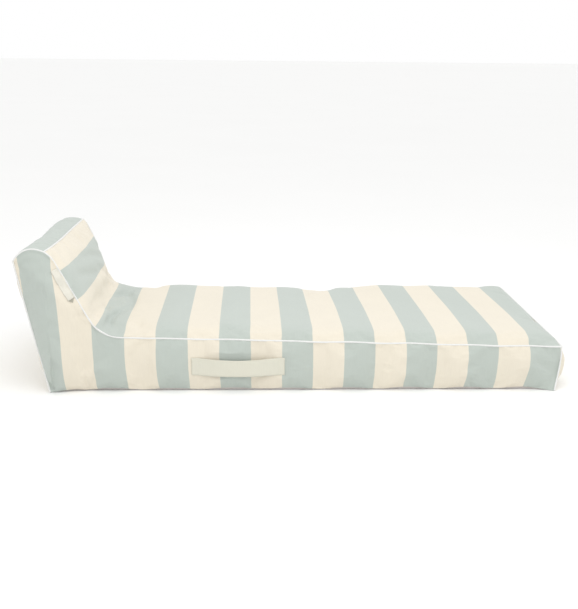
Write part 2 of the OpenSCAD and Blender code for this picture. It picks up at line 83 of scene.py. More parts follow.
def area_light(name, place, aim, size, watts):
    data = bpy.data.lights.new(name, "AREA")
    data.shape = "DISK"
    data.size = size
    data.energy = watts
    light = bpy.data.objects.new(name, data)
    direction = Vector(aim) - Vector(place)
    light.rotation_euler = direction.to_track_quat("-Z", "Y").to_euler()
    light.location = place
    bpy.context.collection.objects.link(light)


def make_studio():
    bm = bmesh.new()
    bmesh.ops.create_grid(bm, x_segments=1, y_segments=1, size=FLOOR_REACH)
    floor = new_object("studio_floor", bm)
    floor.data.materials.append(floor_paint())
    world = bpy.data.worlds.new("studio")
    world.use_nodes = True
    background = world.node_tree.nodes["Background"]
    background.inputs["Color"].default_value = (1, 1, 1, 1)
    background.inputs["Strength"].default_value = 1.0
    bpy.context.scene.world = world
    area_light("key", KEY_PLACE, KEY_AIM, KEY_SIZE, KEY_WATTS)
    view = bpy.context.scene.view_settings
    view.view_transform = "Standard"
    view.look = "None"
    view.exposure = 0.0


# ---------------------------------------------------------------- materials
def colour(hex_code):
    """sRGB hex to linear RGBA."""
    parts = [int(hex_code[i:i + 2], 16) / 255 for i in (0, 2, 4)]
    return tuple(c / 12.92 if c <= 0.04045 else ((c + 0.055) / 1.055) ** 2.4 for c in parts) + (1.0,)


def add(tree, kind, settings=None, links=None):
    """Adds a node; settings go to properties or inputs, links are input name to (node, output name)."""
    node = tree.nodes.new(kind)
    for key, value in (settings or {}).items():
        if key in node.inputs:
            node.inputs[key].default_value = value
        else:
            setattr(node, key, value)
    for key, (source, output) in (links or {}).items():
        tree.links.new(source.outputs[output], node.inputs[key])
    return node


def new_material(name, roughness, metallic=0.0, ior=1.5):
    material = bpy.data.materials.new(name)
    material.use_nodes = True
    tree = material.node_tree
    shader = tree.nodes["Principled BSDF"]
    shader.inputs["Roughness"].default_value = roughness
    shader.inputs["Metallic"].default_value = metallic
    if metallic == 0:
        shader.inputs["IOR"].default_value = ior
    return material, tree, shader


def floor_paint():
    """Matt white studio paint, rolled: an even pale tone with a trace of mottling."""
    material, tree, shader = new_material("matt_studio_paint", 0.9)
    place = add(tree, "ShaderNodeTexCoord")
    mottle = add(tree, "ShaderNodeTexNoise", {"Scale": 0.6, "Detail": 3}, {"Vector": (place, "Object")})
    ramp = add(tree, "ShaderNodeMix", {"data_type": "RGBA"}, {"Factor": (mottle, "Fac")})
    ramp.inputs[6].default_value = colour("F7F7F6")
    ramp.inputs[7].default_value = colour("FAFAF9")
    tree.links.new(ramp.outputs[2], shader.inputs["Base Color"])
    return material


CREAM = "E1D9C8"
TEAL = "B6BEB7"
YARN = 2.4 * MM                   # drawn four times its real 0.6 mm, so that the weave shows
WAVE_PERIODS = 3.18               # scale of a wave texture that gives one period to two yarns


def weave(tree, place, output, yarn=YARN):
    """Height of a plain weave: warp and weft ridges crossing, one period to two yarns."""
    total = add(tree, "ShaderNodeMath", {"operation": "ADD"})
    for slot_number, axis in enumerate(("X", "Y")):
        ridge = add(tree, "ShaderNodeTexWave",
                    {"wave_type": "BANDS", "bands_direction": axis, "wave_profile": "SIN",
                     "Scale": 1 / yarn / WAVE_PERIODS, "Distortion": 0.35, "Detail": 1.0,
                     "Detail Scale": 0.4},
                    {"Vector": (place, output)})
        tree.links.new(ridge.outputs["Fac"], total.inputs[slot_number])
    return total


def canvas(name, first, second=None, yarn=YARN, rough=0.86):
    """Woven acrylic canvas, dyed in the yarn: matt, soft at grazing angles, slubbed, in a plain weave.
    With a second colour it has the broad awning stripe, which follows the cloth's own length."""
    material, tree, shader = new_material(name, rough)
    cloth = add(tree, "ShaderNodeUVMap", {"uv_map": "cloth"})
    slub = add(tree, "ShaderNodeMapping", {"Scale": (260, 22, 1)}, {"Vector": (cloth, "UV")})
    slubs = add(tree, "ShaderNodeTexNoise", {"Scale": 1.0, "Detail": 4, "Roughness": 0.6},
                {"Vector": (slub, "Vector")})
    tone = add(tree, "ShaderNodeTexNoise", {"Scale": 7, "Detail": 3}, {"Vector": (cloth, "UV")})
    base = tree.nodes.new("ShaderNodeMix")
    base.data_type = "RGBA"
    base.inputs[6].default_value = colour(first)
    base.inputs[7].default_value = colour(second or first)
    if second:
        split = add(tree, "ShaderNodeSeparateXYZ", {}, {"Vector": (cloth, "UV")})
        ragged = add(tree, "ShaderNodeTexNoise", {"Scale": 420, "Detail": 1}, {"Vector": (cloth, "UV")})
        wobble = add(tree, "ShaderNodeMath", {"operation": "MULTIPLY_ADD"})
        wobble.inputs[1].default_value = 0.8 * MM
        tree.links.new(ragged.outputs["Fac"], wobble.inputs[0])
        tree.links.new(split.outputs["X"], wobble.inputs[2])
        pair = add(tree, "ShaderNodeMath", {"operation": "WRAP"})
        pair.inputs[1].default_value = 2 * STRIPE
        pair.inputs[2].default_value = 0.0
        tree.links.new(wobble.outputs[0], pair.inputs[0])
        # Distance from the middle of a dark stripe, compared with half a stripe
        off = add(tree, "ShaderNodeMath", {"operation": "SUBTRACT"})
        off.inputs[1].default_value = 1.5 * STRIPE
        tree.links.new(pair.outputs[0], off.inputs[0])
        size = add(tree, "ShaderNodeMath", {"operation": "ABSOLUTE"})
        tree.links.new(off.outputs[0], size.inputs[0])
        edge = add(tree, "ShaderNodeMapRange", {"interpolation_type": "SMOOTHSTEP"})
        edge.inputs["From Min"].default_value = STRIPE / 2 - 1.2 * MM
        edge.inputs["From Max"].default_value = STRIPE / 2 + 1.2 * MM
        edge.inputs["To Min"].default_value = 1.0
        edge.inputs["To Max"].default_value = 0.0
        tree.links.new(size.outputs[0], edge.inputs["Value"])
        tree.links.new(edge.outputs["Result"], base.inputs[0])
    else:
        base.inputs[0].default_value = 0.0
    shade = add(tree, "ShaderNodeMapRange", {"To Min": 0.955, "To Max": 1.035}, {"Value": (slubs, "Fac")})
    drift = add(tree, "ShaderNodeMapRange", {"To Min": 0.97, "To Max": 1.03}, {"Value": (tone, "Fac")})
    both = add(tree, "ShaderNodeMath", {"operation": "MULTIPLY"})
    tree.links.new(shade.outputs["Result"], both.inputs[0])
    tree.links.new(drift.outputs["Result"], both.inputs[1])
    dyed = add(tree, "ShaderNodeHueSaturation", {}, {"Color": (base, 2), "Value": (both, 0)})
    tree.links.new(dyed.outputs["Color"], shader.inputs["Base Color"])
    ridge = weave(tree, cloth, "UV", yarn)
    bump = add(tree, "ShaderNodeBump", {"Strength": 0.22, "Distance": 0.35 * MM})
    tree.links.new(ridge.outputs[0], bump.inputs["Height"])
    tree.links.new(bump.outputs["Normal"], shader.inputs["Normal"])
    shader.inputs["Sheen Weight"].default_value = 0.25
    shader.inputs["Sheen Roughness"].default_value = 0.6
    return material


def plain_cloth(name, hex_code, yarn, rough=0.85):
    """Small cloth trim read in object space: a fine weave and slight unevenness of the dye."""
    material, tree, shader = new_material(name, rough)
    place = add(tree, "ShaderNodeTexCoord")
    tone = add(tree, "ShaderNodeTexNoise", {"Scale": 60, "Detail": 4}, {"Vector": (place, "Object")})
    value = add(tree, "ShaderNodeMapRange", {"To Min": 0.93, "To Max": 1.04}, {"Value": (tone, "Fac")})
    base = add(tree, "ShaderNodeHueSaturation", {"Color": colour(hex_code)}, {"Value": (value, "Result")})
    tree.links.new(base.outputs["Color"], shader.inputs["Base Color"])
    ridge = weave(tree, place, "Object", yarn)
    bump = add(tree, "ShaderNodeBump", {"Strength": 0.3, "Distance": 0.3 * MM})
    tree.links.new(ridge.outputs[0], bump.inputs["Height"])
    tree.links.new(bump.outputs["Normal"], shader.inputs["Normal"])
    shader.inputs["Sheen Weight"].default_value = 0.2
    return material


def moulded(name, hex_code, rough, grain, ior=1.46, metallic=0.0, depth=0.05):
    """A moulded, cast or calendered surface: an even colour, a fine grain and small changes of gloss."""
    material, tree, shader = new_material(name, rough, metallic, ior)
    place = add(tree, "ShaderNodeTexCoord")
    tone = add(tree, "ShaderNodeTexNoise", {"Scale": 30, "Detail": 3}, {"Vector": (place, "Object")})
    value = add(tree, "ShaderNodeMapRange", {"To Min": 0.95, "To Max": 1.03}, {"Value": (tone, "Fac")})
    base = add(tree, "ShaderNodeHueSaturation", {"Color": colour(hex_code)}, {"Value": (value, "Result")})
    tree.links.new(base.outputs["Color"], shader.inputs["Base Color"])
    gloss = add(tree, "ShaderNodeMapRange", {"To Min": rough - 0.06, "To Max": rough + 0.08},
                {"Value": (tone, "Fac")})
    tree.links.new(gloss.outputs["Result"], shader.inputs["Roughness"])
    fine = add(tree, "ShaderNodeTexNoise", {"Scale": 1 / grain, "Detail": 2}, {"Vector": (place, "Object")})
    bump = add(tree, "ShaderNodeBump", {"Strength": depth, "Distance": 0.2 * MM}, {"Height": (fine, "Fac")})
    tree.links.new(bump.outputs["Normal"], shader.inputs["Normal"])
    return material


# ---------------------------------------------------------------- seams of the cover
def centre(node):
    low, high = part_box(node)
    return (low + high) / 2


base_low, base_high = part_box("base_panel")
HALF = base_high.y                # seams lie this far from the middle
CELL = 0.0115                     # pitch of the cloth meshes
CLOSE = 5 * MM                    # first row in from a seam
HEAD_SLOPE = math.radians(61.5)   # fall of the headrest's front
BEND_R = 0.130                    # of the bend from the headrest to the bed
BED_H = 0.202                     # of the bed's line where the headrest's slope would meet it
ZIP_H = 0.212                     # distance of the zip up the back
ZIP_HALF = 0.3205                 # half the slot's length
ZIP_FLAT = 32 * MM                # the back lies flat this near its zip
LIP_GAP = 4.6 * MM                # half the slot's width, in which the zip teeth run
LIP_CLOSE = 10 * MM               # the slot closes over this length past its ends
BOTTOM_SEAM = 8 * MM              # the bottom seams stand off the floor
FLOOR_GAP = 0.2 * MM
PIPING_R = 3.2 * MM
TUBE_PITCH = 0.217                # of the bladder's cross tubes
STRIPE = 0.114                    # width of one stripe
EASED = 8                         # points of the front line's eased start

# Corners of the side in X and Z: rear and foot of the base, then the rear, front and foot top seams

A = np.array((base_low.x, 0.0))
G = np.array((base_high.x, 0.0))
B = np.array((centre("piping_head_back").x, centre("piping_head_back").z))
D = np.array((centre("piping_head_front").x, centre("piping_head_front").z))
F = np.array((centre("piping_foot").x, centre("piping_foot").z))
BACK_L = float(np.linalg.norm(B - A))
BACK_OUT = np.array((-(B - A)[1], (B - A)[0])) / BACK_L
SLOPE = np.array((math.cos(HEAD_SLOPE), -math.sin(HEAD_SLOPE)))


class Line:
    """A line in X and Z, read by the share of its length."""

    def __init__(self, points):
        self.points = np.array(points)
        reach = np.concatenate([[0], np.cumsum(np.linalg.norm(np.diff(self.points, axis=0), axis=1))])
        self.length = float(reach[-1])
        self.share = reach / reach[-1]

    def at(self, u):
        return np.array([np.interp(u, self.share, self.points[:, axis]) for axis in (0, 1)])

    def out(self, u, span=0.015):
        ahead = self.at(min(u + span, 1)) - self.at(max(u - span, 0))
        ahead /= np.linalg.norm(ahead)
        return np.array((-ahead[1], ahead[0]))


def bowed(start, end, bow, count=24):
    """Points of a shallow curve from start to end that stands out by bow in its middle."""
    along = end - start
    out = np.array((-along[1], along[0])) / np.linalg.norm(along)
    return [start + along * t + out * bow * 4 * t * (1 - t) for t in np.linspace(0, 1, count)]


def bed_line():
    """Down the headrest from a little below its front seam, round the bend and along the bed to the foot."""
    corner = D + SLOPE * ((D[1] - BED_H) / math.sin(HEAD_SLOPE))
    bed = (F - corner) / np.linalg.norm(F - corner)
    turn = HEAD_SLOPE - math.atan2(-bed[1], bed[0])
    start = corner - SLOPE * BEND_R * math.tan(turn / 2)
    middle = start + BEND_R * np.array((math.sin(HEAD_SLOPE), math.cos(HEAD_SLOPE)))
    arc = [middle - BEND_R * np.array((math.sin(a), math.cos(a)))
           for a in np.linspace(HEAD_SLOPE, HEAD_SLOPE - turn, 24)]
    return arc + [F]


def front_line(shift):
    """The front seam line from a corner moved by shift, eased into the slope of the headrest."""
    start, end = D + shift, D + SLOPE * 25 * MM
    ease = [start * (1 - t) ** 2 + D * 2 * t * (1 - t) + end * t ** 2 for t in np.linspace(0, 1, EASED)]
    return Line(ease + bed_line())


# The inflated headrest draws its corners about: the right-hand side stands fuller than the left
CORNER_SHIFT = {-1: np.array((-0.022, 0.012)), 0: np.array((-0.012, 0.006)), 1: np.array((-0.009, 0.003))}
REAR_SHIFT = {-1: np.array((-0.007, 0.003)), 0: np.array((0.0, 0.0)), 1: np.array((-0.003, 0.0))}
ARC_BOW = {-1: 0.025, 0: 0.021, 1: 0.017}
front = {side: front_line(CORNER_SHIFT[side]) for side in (-1, 0, 1)}
crest = {side: Line(bowed(B + REAR_SHIFT[side], D + CORNER_SHIFT[side], ARC_BOW[side]))
         for side in (-1, 0, 1)}
foot = Line(bowed(F, G, 9 * MM))


def stations(length, close=(True, True)):
    """Distances along a panel edge, one cell apart, with a closer row beside each seam."""
    count = max(3, round(length / CELL))
    inner = list(np.linspace(0, length, count + 1))
    if close[0]:
        inner.insert(1, CLOSE)
    if close[1]:
        inner.insert(-1, length - CLOSE)
    return np.array(inner)


ACROSS = stations(2 * HALF) / HALF - 1
CREST_U = stations(crest[0].length) / crest[0].length
FRONT_U = stations(front[0].length) / front[0].length
LOWER_S = stations(ZIP_H, (True, False))
UPPER_S = ZIP_H + stations(BACK_L - ZIP_H, (False, True))
ROWS = np.concatenate([LOWER_S, UPPER_S[1:]]) / BACK_L
COLUMNS = len(CREST_U) + len(FRONT_U) - 1


def swell(d, reach, power=2.2, hook=0.72):
    """Rise of an inflated panel at a distance d from its seam: steep at the seam, flat past its reach."""
    t = min(max(d / reach, 0.0), 1.0)
    return (1 - (1 - t) ** power) ** hook


def smooth(t):
    """Eases from 0 to 1 as t goes from 0 to 1."""
    t = min(max(t, 0.0), 1.0)
    return t * t * (3 - 2 * t)


def ribs(x):
    """The cross tubes of the bladder, from 0 on a weld line to 1 on a crown."""
    return 0.5 - 0.5 * math.cos(2 * math.pi * (x - G[0]) / TUBE_PITCH)


def wander(x, seed, scale=0.16):
    """A slow unevenness along x, a different one for each seed."""
    return noise.noise(Vector((x / scale, seed, 0.5)))


def foot_fullness(x, t):
    """How far the cover is drawn back and lifted, more towards the foot's left corner."""
    across = smooth((t + 0.25) / 1.1)
    lift = (22 * MM * smooth((x - 0.1) / 0.4) + 23 * MM * smooth((x - 0.84) / 0.13)) * across
    drawn = -42 * MM * min(max((x + 0.15) / 1.1, 0), 1) ** 1.2 * across
    pushed = 6 * MM * smooth((x - 0.9) / 0.07) * (1 - across)
    return Vector((drawn + pushed, 0, lift))


def bottom_seam(x, side):
    """Y and Z of the bottom seam: scalloped by the tubes, and let down at the corners."""
    corner = max(0.0, 1 - min(x - A[0], G[0] - x) / 0.12)
    scallop = (5 * MM * (ribs(x) - 0.5) + 1.5 * MM * wander(x, side)) * (1 - corner)
    z = BOTTOM_SEAM * (1 - corner ** 1.5) + scallop
    ear = max(0.0, 1 - (x - A[0]) / 0.14, 1 - (G[0] - x) / 0.12)
    y = HALF + 3.5 * MM + 2 * MM * wander(x, 3 + side) + 24 * MM * ear ** 2
    return side * y, max(z, 2 * FLOOR_GAP)


def side_share(side, u):
    """Share of the side's seam line beside share u of the middle line, both measured from the foot."""
    spare = front[side].length - front[0].length
    left = (1 - u) * front[0].length + spare * max(0.0, 1 - u / 0.12)
    return 1 - left / front[side].length


def top_seam(side, i):
    """Point on the piped top seam at column i of the side panel."""
    last = len(CREST_U) - 1
    spot = crest[side].at(CREST_U[i]) if i <= last else front[side].at(side_share(side, FRONT_U[i - last]))
    x = spot[0]
    bed = min(max((x + 0.66) / 0.1, 0), 1) * min(max((F[0] - x) / 0.08, 0), 1)
    lift = (1.6 * MM * (ribs(x) - 0.5) + 1.8 * MM * wander(x, 7 + side)) * bed
    draw = 2.5 * MM * wander(x, 11 + side, 0.12) * bed
    # The left side of the headrest's slope is drawn back between its corners
    if side > 0 and i > last:
        back = math.exp(-((spot[1] - 0.29) / 0.1) ** 2) * smooth((spot[1] - 0.19) / 0.07)
        spot = spot - front[side].out(side_share(side, FRONT_U[i - last])) * 38 * MM * back
    return Vector((spot[0], side * (HALF + draw), spot[1] + lift)) + foot_fullness(x, side)


def upright_seam(side, v, spot, x):
    """Point at share v of a seam up the side's end, run into the bottom seam's corner at x."""
    y, z = bottom_seam(x, side)
    return Vector((spot[0], side * HALF + (y - side * HALF) * (1 - v) ** 4, spot[1] + z * (1 - v) ** 6))


def rear_seam(side, k):
    """Point on the piped rear seam at row k."""
    v = ROWS[k]
    spot = A + (B + REAR_SHIFT[side] - A) * v + BACK_OUT * 4 * MM * 4 * v * (1 - v)
    return upright_seam(side, v, spot, A[0])


def foot_seam(side, k):
    """Point on the piped foot seam at row k."""
    v = ROWS[k]
    full = foot_fullness(F[0], side) * v ** 1.5
    return upright_seam(side, v, foot.at(1 - v), G[0]) + full


def low_seam(side, i):
    """Point on the bottom seam at column i of the side panel."""
    last = len(CREST_U) - 1
    x = A[0] + (D[0] - A[0]) * CREST_U[i] if i <= last else front[0].at(FRONT_U[i - last])[0]
    x -= (F[0] - G[0]) * max(0.0, (x - F[0] + 0.1) / 0.1)
    y, z = bottom_seam(x, side)
    return Vector((x, y, z))


# ---------------------------------------------------------------- cover panels
def new_object(name, bm):
    mesh = bpy.data.meshes.new(name)
    bm.to_mesh(mesh)
    bm.free()
    mesh.polygons.foreach_set("use_smooth", [True] * len(mesh.polygons))
    piece = bpy.data.objects.new(name, mesh)
    bpy.context.collection.objects.link(piece)
    return piece


def cloth_grid(name, nu, nv, place, cloth, turned=False):
    """A grid of nu by nv cells placed by its indices, with cloth coordinates in metres."""
    bm = bmesh.new()
    bmesh.ops.create_grid(bm, x_segments=nu, y_segments=nv, size=0.5)
    uv = bm.loops.layers.uv.new("cloth")
    cells = {v: (round((v.co.x + 0.5) * nu), round((v.co.y + 0.5) * nv)) for v in bm.verts}
    for face in bm.faces:
        for loop in face.loops:
            loop[uv].uv = cloth(*cells[loop.vert])
    for v, (i, j) in cells.items():
        v.co = place(i, j)
    if turned:
        bmesh.ops.reverse_faces(bm, faces=bm.faces)
    return new_object(name, bm)


def front_place(i, j):
    u, t = FRONT_U[i], ACROSS[j]
    last = len(CREST_U) - 1
    spot, out = front[0].at(u), front[0].out(u, 0.02)
    x = spot[0]
    bed = min(max((x + 0.74) / 0.20, 0), 1)
    full = 12 * MM + 17 * MM * bed * bed * (3 - 2 * bed)
    edge = (1 - abs(t)) * HALF
    ends = swell(u * front[0].length, 0.12) * swell((1 - u) * front[0].length, 0.07)
    tubes = 6 * MM * (ribs(x) - 0.6) + 2.5 * MM * wander(x, 5)
    rise = full * swell(edge, 0.14, 3.2, 0.6) * ends + tubes * swell(edge, 0.2) * ends * bed
    near, far = top_seam(-1, last + i), top_seam(1, last + i)
    side = near if t < 0 else far
    full_end = foot_fullness(x, t)
    edge_full = foot_fullness(x, 1 if t > 0 else -1)
    weight = abs(t) ** (2 + 4 * smooth((x + 0.74) / 0.2))
    drift = Vector((side.x - x, side.y - math.copysign(HALF, t), side.z - spot[1])) - edge_full
    return Vector((x + out[0] * rise, t * HALF, spot[1] + out[1] * rise)) + drift * weight + full_end


def crest_place(i, j):
    u, t = CREST_U[i], ACROSS[j]
    spot, out = crest[0].at(u), crest[0].out(u, 0.1)
    edge = (1 - abs(t)) * HALF
    rise = 5 * MM * swell(edge, 0.09) * 4 * u * (1 - u)
    side = top_seam(-1 if t < 0 else 1, i)
    drift = Vector((side.x - spot[0], 0, side.z - spot[1])) * abs(t) ** 2
    return Vector((spot[0] + out[0] * rise, t * HALF, spot[1] + out[1] * rise)) + drift


def foot_place(k, j):
    v, t = ROWS[k], ACROSS[j]
    spot = foot.at(1 - v)
    edge = (1 - abs(t)) * HALF
    height = F[1]
    rise = 24 * MM * swell(edge, 0.05) * swell(min(v, 1 - v) * height, 0.07)
    side = foot_seam(-1 if t < 0 else 1, k)
    full = foot_fullness(F[0], t) * v ** 1.5
    edge_full = foot_fullness(F[0], 1 if t > 0 else -1) * v ** 1.5
    drift = Vector((side.x - spot[0], side.y - math.copysign(HALF, t), side.z - spot[1])) - edge_full
    drift = drift * abs(t) ** 8 + full
    if k == len(ROWS) - 1:
        return front_place(len(FRONT_U) - 1, j)
    point = Vector((spot[0] + rise, t * HALF, spot[1] + 1.5 * MM * (1 - v) ** 6)) + drift
    point.z = max(point.z, 2 * FLOOR_GAP)
    return point


def base_place(i, j):
    t = ACROSS[j]
    seam = low_seam(-1 if t < 0 else 1, i)
    if j in (0, len(ACROSS) - 1):
        return seam
    if i == COLUMNS - 1:
        return foot_place(0, j)
    if i == 0:
        return back_place(0, j, ROWS[0] * BACK_L)
    if j in (1, len(ACROSS) - 2):
        return Vector((seam.x, seam.y - math.copysign(3 * MM, t), FLOOR_GAP))
    return Vector((seam.x, t * HALF * (1 + (abs(seam.y) / HALF - 1) * abs(t) ** 6), FLOOR_GAP))


def back_place(k, j, s, lip=0.0):
    """A point of the back at distance s up it; lip moves the edge beside the zip's slot."""
    t = ACROSS[j]
    y = t * HALF
    share = s / BACK_L
    near = swell(HALF - abs(y), 0.05)
    lips = lip * (1.0 if abs(y) < ZIP_HALF else max(0.0, 1 - (abs(y) - ZIP_HALF) / LIP_CLOSE))
    puff = 11 * MM * near * swell(min(abs(s - ZIP_H), BACK_L - s if s > ZIP_H else s), 0.10)
    puff *= smooth(abs(s - ZIP_H) / ZIP_FLAT)
    spot = A + (B - A) * (share + lips / BACK_L) + BACK_OUT * puff
    side = rear_seam(-1 if t < 0 else 1, k)
    flat = A + (B - A) * share
    drift = Vector((side.x - flat[0], side.y - math.copysign(HALF, t), side.z - flat[1])) * abs(t) ** 8
    rear = 1.5 * MM * (1 - share) ** 20 * (1 - abs(t) ** 8)
    return Vector((spot[0], y, spot[1] + rear)) + drift


def side_place(side, i, k):
    low, top = low_seam(side, i), top_seam(side, i)
    v = ROWS[k]
    spot = low.lerp(top, v)
    last = COLUMNS - 1
    rear_pull = max(0.0, 1 - i / 12) ** 2
    foot_pull = max(0.0, 1 - (last - i) / 12) ** 2
    first = low_seam(side, 0).lerp(top_seam(side, 0), v)
    final = low_seam(side, last).lerp(top_seam(side, last), v)
    spot = spot + (rear_seam(side, k) - first) * rear_pull + (foot_seam(side, k) - final) * foot_pull
    height = top.z - low.z
    ends = min(spot.x - first.x, final.x - spot.x)
    edge = min(v, 1 - v) * height
    full = 17 * MM + 15 * MM * min(max((height - 0.2) / 0.25, 0), 1)
    out = full * swell(edge, min(0.5 * height, 0.15)) * swell(ends, 0.08)
    tubes = (3.5 * MM * (ribs(spot.x) - 0.6)) * swell(edge, 0.1) * swell(ends, 0.1)
    return Vector((spot.x, spot.y + side * (out + tubes), spot.z))


def side_cloth(side):
    """Cloth coordinates of a side: the stripes stand up, and lean a little on the headrest."""
    def cloth(i, k):
        low, top = low_seam(side, i), top_seam(side, i)
        spot = low.lerp(top, ROWS[k])
        rise = max(0.0, (spot.z - 0.15) / 0.343)
        pulled = 0.019 * spot.x * (1 - ROWS[k]) ** 2.5
        return (spot.x + 0.846 + 0.025 * rise ** 2 - 2 * MM + pulled, spot.z)
    return cloth


CREST_CLOTH = 0.108               # length of the headrest's top panel in its cloth coordinates
STRIPE_EDGE_X = -0.618            # where a stripe edge of the bed meets one of the side
STRIPE_EDGE_U = float(np.interp(STRIPE_EDGE_X, front[0].points[EASED + 1:, 0], front[0].share[EASED + 1:]))


def make_panels():
    last_row, last_across = len(ROWS) - 1, len(ACROSS) - 1
    split = len(LOWER_S) - 1
    panels = {
        "top_panel": cloth_grid(
            "bed_and_headrest_cloth", len(FRONT_U) - 1, last_across, front_place,
            lambda i, j: ((FRONT_U[i] - STRIPE_EDGE_U) * front[0].length, ACROSS[j] * HALF)),
        "head_top_panel": cloth_grid(
            "headrest_top_cloth", len(CREST_U) - 1, last_across, crest_place,
            lambda i, j: ((CREST_U[i] - 0.5) * CREST_CLOTH - STRIPE / 2, ACROSS[j] * HALF)),
        "foot_panel": cloth_grid(
            "foot_cloth", last_row, last_across, foot_place,
            lambda k, j: (ROWS[k] * F[1], ACROSS[j] * HALF), turned=True),
        "base_panel": cloth_grid(
            "underside_cloth", COLUMNS - 1, last_across, base_place,
            lambda i, j: (low_seam(1, i).x, ACROSS[j] * HALF), turned=True),
        "back_panel_lower": cloth_grid(
            "back_cloth_lower", split, last_across,
            lambda k, j: back_place(k, j, LOWER_S[k], -LIP_GAP if k == split else 0.0),
            lambda k, j: (LOWER_S[k], ACROSS[j] * HALF)),
        "back_panel_upper": cloth_grid(
            "back_cloth_upper", len(UPPER_S) - 1, last_across,
            lambda k, j: crest_place(0, j) if k == len(UPPER_S) - 1
            else back_place(split + k, j, UPPER_S[k], LIP_GAP if k == 0 else 0.0),
            lambda k, j: (UPPER_S[k], ACROSS[j] * HALF)),
    }
    for side, word in ((-1, "right"), (1, "left")):
        panels[f"side_panel_{word}"] = cloth_grid(
            f"side_cloth_{word}", COLUMNS - 1, last_row, lambda i, k: side_place(side, i, k),
            side_cloth(side), turned=side > 0)
    return panels


# ---------------------------------------------------------------- inflating the cover
STRAP_ENDS = [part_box(f"handle_ends_{side}") for side in ("right", "left")]
STRAP_SEAM, STRAP_HOLD = 0.012, 0.022   # middle of a strap's sewn end, and the cloth held about it
WRINKLE = 8 * MM                  # the cloth moves no further than this from its cut shape
SPARE_CLOTH = 0.034               # the cloth is longer than its seams by this share
PRESSURE = 1.2
FRAMES = 16
SOFT = 0.035                      # how firmly the cloth between the seams is held


def held(point, seam_gap):
    """How firmly a point of the cover is held: sewn at the seams and under the straps, soft between."""
    if seam_gap < 1 * MM or point.z < 1 * MM:
        return 1.0
    up_back = float(np.dot((point.x - A[0], point.z - A[1]), B - A)) / BACK_L
    if point.x < A[0] + 5 * MM and abs(up_back - ZIP_H) < ZIP_FLAT / 2:
        return 1.0
    for low, high in STRAP_ENDS:
        if low.z < point.z < high.z and point.y * low.y > 0 and (
                abs(point.x - low.x - STRAP_SEAM) < STRAP_HOLD
                or abs(point.x - high.x + STRAP_SEAM) < STRAP_HOLD):
            return 1.0
    return SOFT


def nearest(points):
    """A tree that finds the nearest of points."""
    tree = KDTree(len(points))
    for index, co in enumerate(points):
        tree.insert(co, index)
    tree.balance()
    return tree


def inflate(panels):
    """Blows the sewn cover up once as one cloth, longer than its seams by a little so that it puckers."""
    bm = bmesh.new()
    rims = []
    for piece in panels.values():
        bm.from_mesh(piece.data)
        rim = bmesh.new()
        rim.from_mesh(piece.data)
        rims += [v.co.copy() for v in rim.verts if v.is_boundary]
        rim.free()
    bmesh.ops.remove_doubles(bm, verts=bm.verts, dist=0.6 * MM)
    bmesh.ops.recalc_face_normals(bm, faces=bm.faces)
    maker = new_object("cover_maker", bm)
    seams = nearest(rims)
    group = maker.vertex_groups.new(name="held")
    start = [v.co.copy() for v in maker.data.vertices]
    for index, co in enumerate(start):
        group.add([index], held(co, seams.find(co)[2]), "REPLACE")
    cloth = maker.modifiers.new("cloth", "CLOTH")
    made = cloth.settings
    made.quality = 4
    made.mass = 0.25
    made.air_damping = 4
    made.tension_stiffness = made.compression_stiffness = 18
    made.shear_stiffness = 6
    made.bending_stiffness = 0.12
    made.vertex_group_mass = "held"
    made.pin_stiffness = 1.0
    made.shrink_min = -SPARE_CLOTH
    made.use_pressure = True
    made.uniform_pressure_force = PRESSURE
    made.effector_weights.gravity = 0
    cloth.collision_settings.use_collision = False
    scene = bpy.context.scene
    cloth.point_cache.frame_start, cloth.point_cache.frame_end = 1, FRAMES
    for frame_number in range(1, FRAMES + 1):
        scene.frame_set(frame_number)
    blown = maker.evaluated_get(bpy.context.evaluated_depsgraph_get()).to_mesh()
    moved = [v.co.copy() for v in blown.vertices]
    scene.frame_set(1)
    bpy.data.objects.remove(maker)
    welded = nearest(start)
    for piece in panels.values():
        for v in piece.data.vertices:
            index = welded.find(v.co)[1]
            step = moved[index] - start[index]
            if step.length > WRINKLE:
                step *= WRINKLE / step.length
            v.co += step


# Creases pressed into the cloth: panel, ends of the crease in metres, its depth and half width in mm
CREASES = [
    ("side_panel_right", (-0.968, -0.40, 0.335), (-0.905, -0.41, 0.318), 3.2, 9),
    ("side_panel_right", (-0.962, -0.40, 0.300), (-0.900, -0.41, 0.290), 2.0, 8),
    ("side_panel_right", (-0.972, -0.40, 0.452), (-0.935, -0.41, 0.440), 3.0, 8),
    ("side_panel_right", (-0.990, -0.39, 0.470), (-0.950, -0.41, 0.400), 3.5, 8),
    ("side_panel_left", (-0.968, 0.40, 0.345), (-0.905, 0.41, 0.322), 3.2, 9),
    ("side_panel_left", (-0.985, 0.39, 0.465), (-0.945, 0.41, 0.405), 3.5, 8),
    ("top_panel", (-0.690, -0.34, 0.225), (-0.672, -0.10, 0.222), 7.0, 13),
    ("top_panel", (-0.735, -0.30, 0.262), (-0.690, -0.02, 0.232), 6.0, 12),
    ("top_panel", (-0.705, 0.02, 0.232), (-0.668, 0.24, 0.216), 6.0, 13),
    ("top_panel", (-0.800, -0.22, 0.385), (-0.778, 0.05, 0.345), 6.0, 14),
    ("top_panel", (-0.822, -0.05, 0.420), (-0.800, 0.22, 0.380), 5.0, 13),
    ("top_panel", (-0.775, 0.10, 0.340), (-0.735, 0.33, 0.262), 5.5, 14),
]


